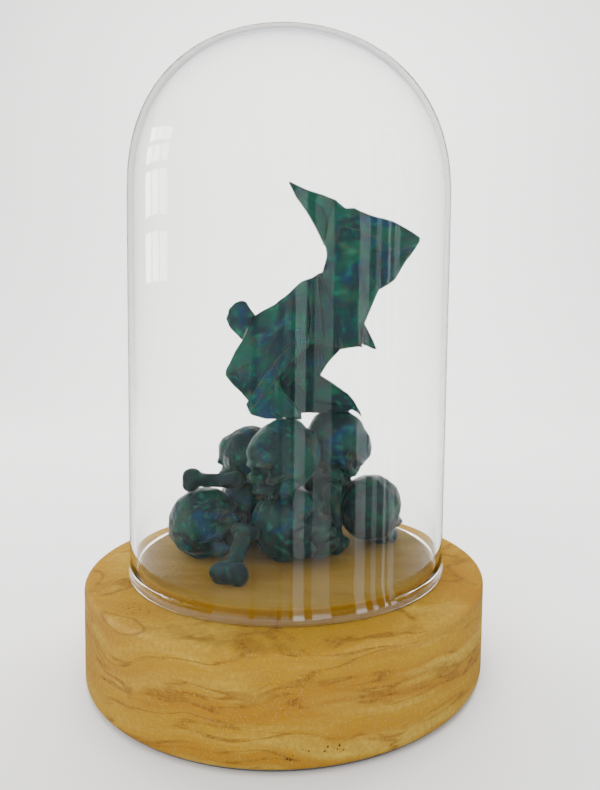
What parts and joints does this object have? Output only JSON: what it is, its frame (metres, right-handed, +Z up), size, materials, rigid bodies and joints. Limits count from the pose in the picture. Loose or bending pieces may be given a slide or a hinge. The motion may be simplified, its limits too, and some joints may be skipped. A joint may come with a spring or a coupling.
{
  "type": "domed display plinth",
  "caption": "Round stone display plinth with a raised table, a lift-off glass dome on its ledge, and a patinated bronze group of a folded-paper rabbit on skulls and bones.",
  "frame": {"origin": "centre of the plinth's underside, on the surface that it stands on", "axes": "+Z up the middle of the dome, +X to the viewer's right, the way the rabbit looks, +Y away from the viewer"},
  "size_m": [0.27, 0.27, 0.413],
  "materials": {
    "sandstone": "honed, banded",
    "felt": "matt felt",
    "clear_glass": "clear, mouth-blown",
    "rabbit_bronze": "green-blue patina, waxed",
    "skull_bronze": "dark green-blue patina, waxed",
    "bone_bronze": "dark green patina, waxed",
    "plain_steel": "plain"
  },
  "bodies": {
    "plinth": {"stone_base": "sandstone", "base_felt": "felt", "fixing_stud_left": "plain_steel", "fixing_stud_centre": "plain_steel", "fixing_stud_right": "plain_steel", "fixing_washer_left": "plain_steel", "fixing_washer_centre": "plain_steel", "fixing_washer_right": "plain_steel", "fixing_nut_left": "plain_steel", "fixing_nut_centre": "plain_steel", "fixing_nut_right": "plain_steel", "skull_low_left": "skull_bronze", "skull_low_centre": "skull_bronze", "skull_low_right": "skull_bronze", "skull_back_left": "skull_bronze", "skull_back_right": "skull_bronze", "skull_middle": "skull_bronze", "skull_top_front": "skull_bronze", "skull_top_right": "skull_bronze", "skull_top_left": "skull_bronze", "bone_left": "bone_bronze", "bone_front": "bone_bronze", "bone_right": "bone_bronze", "rabbit_body": "rabbit_bronze", "rabbit_chest": "rabbit_bronze", "rabbit_head": "rabbit_bronze", "rabbit_ear_near": "rabbit_bronze", "rabbit_ear_far": "rabbit_bronze", "rabbit_tail": "rabbit_bronze", "rabbit_foreleg_near": "rabbit_bronze", "rabbit_foreleg_far": "rabbit_bronze", "rabbit_hind_leg_near": "rabbit_bronze", "rabbit_hind_leg_far": "rabbit_bronze", "rabbit_pin_near": "plain_steel", "rabbit_pin_far": "plain_steel"},
    "dome": {"glass_dome": "clear_glass"}
  },
  "joints": [
    {"name": "dome_lift", "type": "slide", "parent": "plinth", "child": "dome", "axis": [0, 0, 1], "range_m": [0, 0.38]}
  ]
}
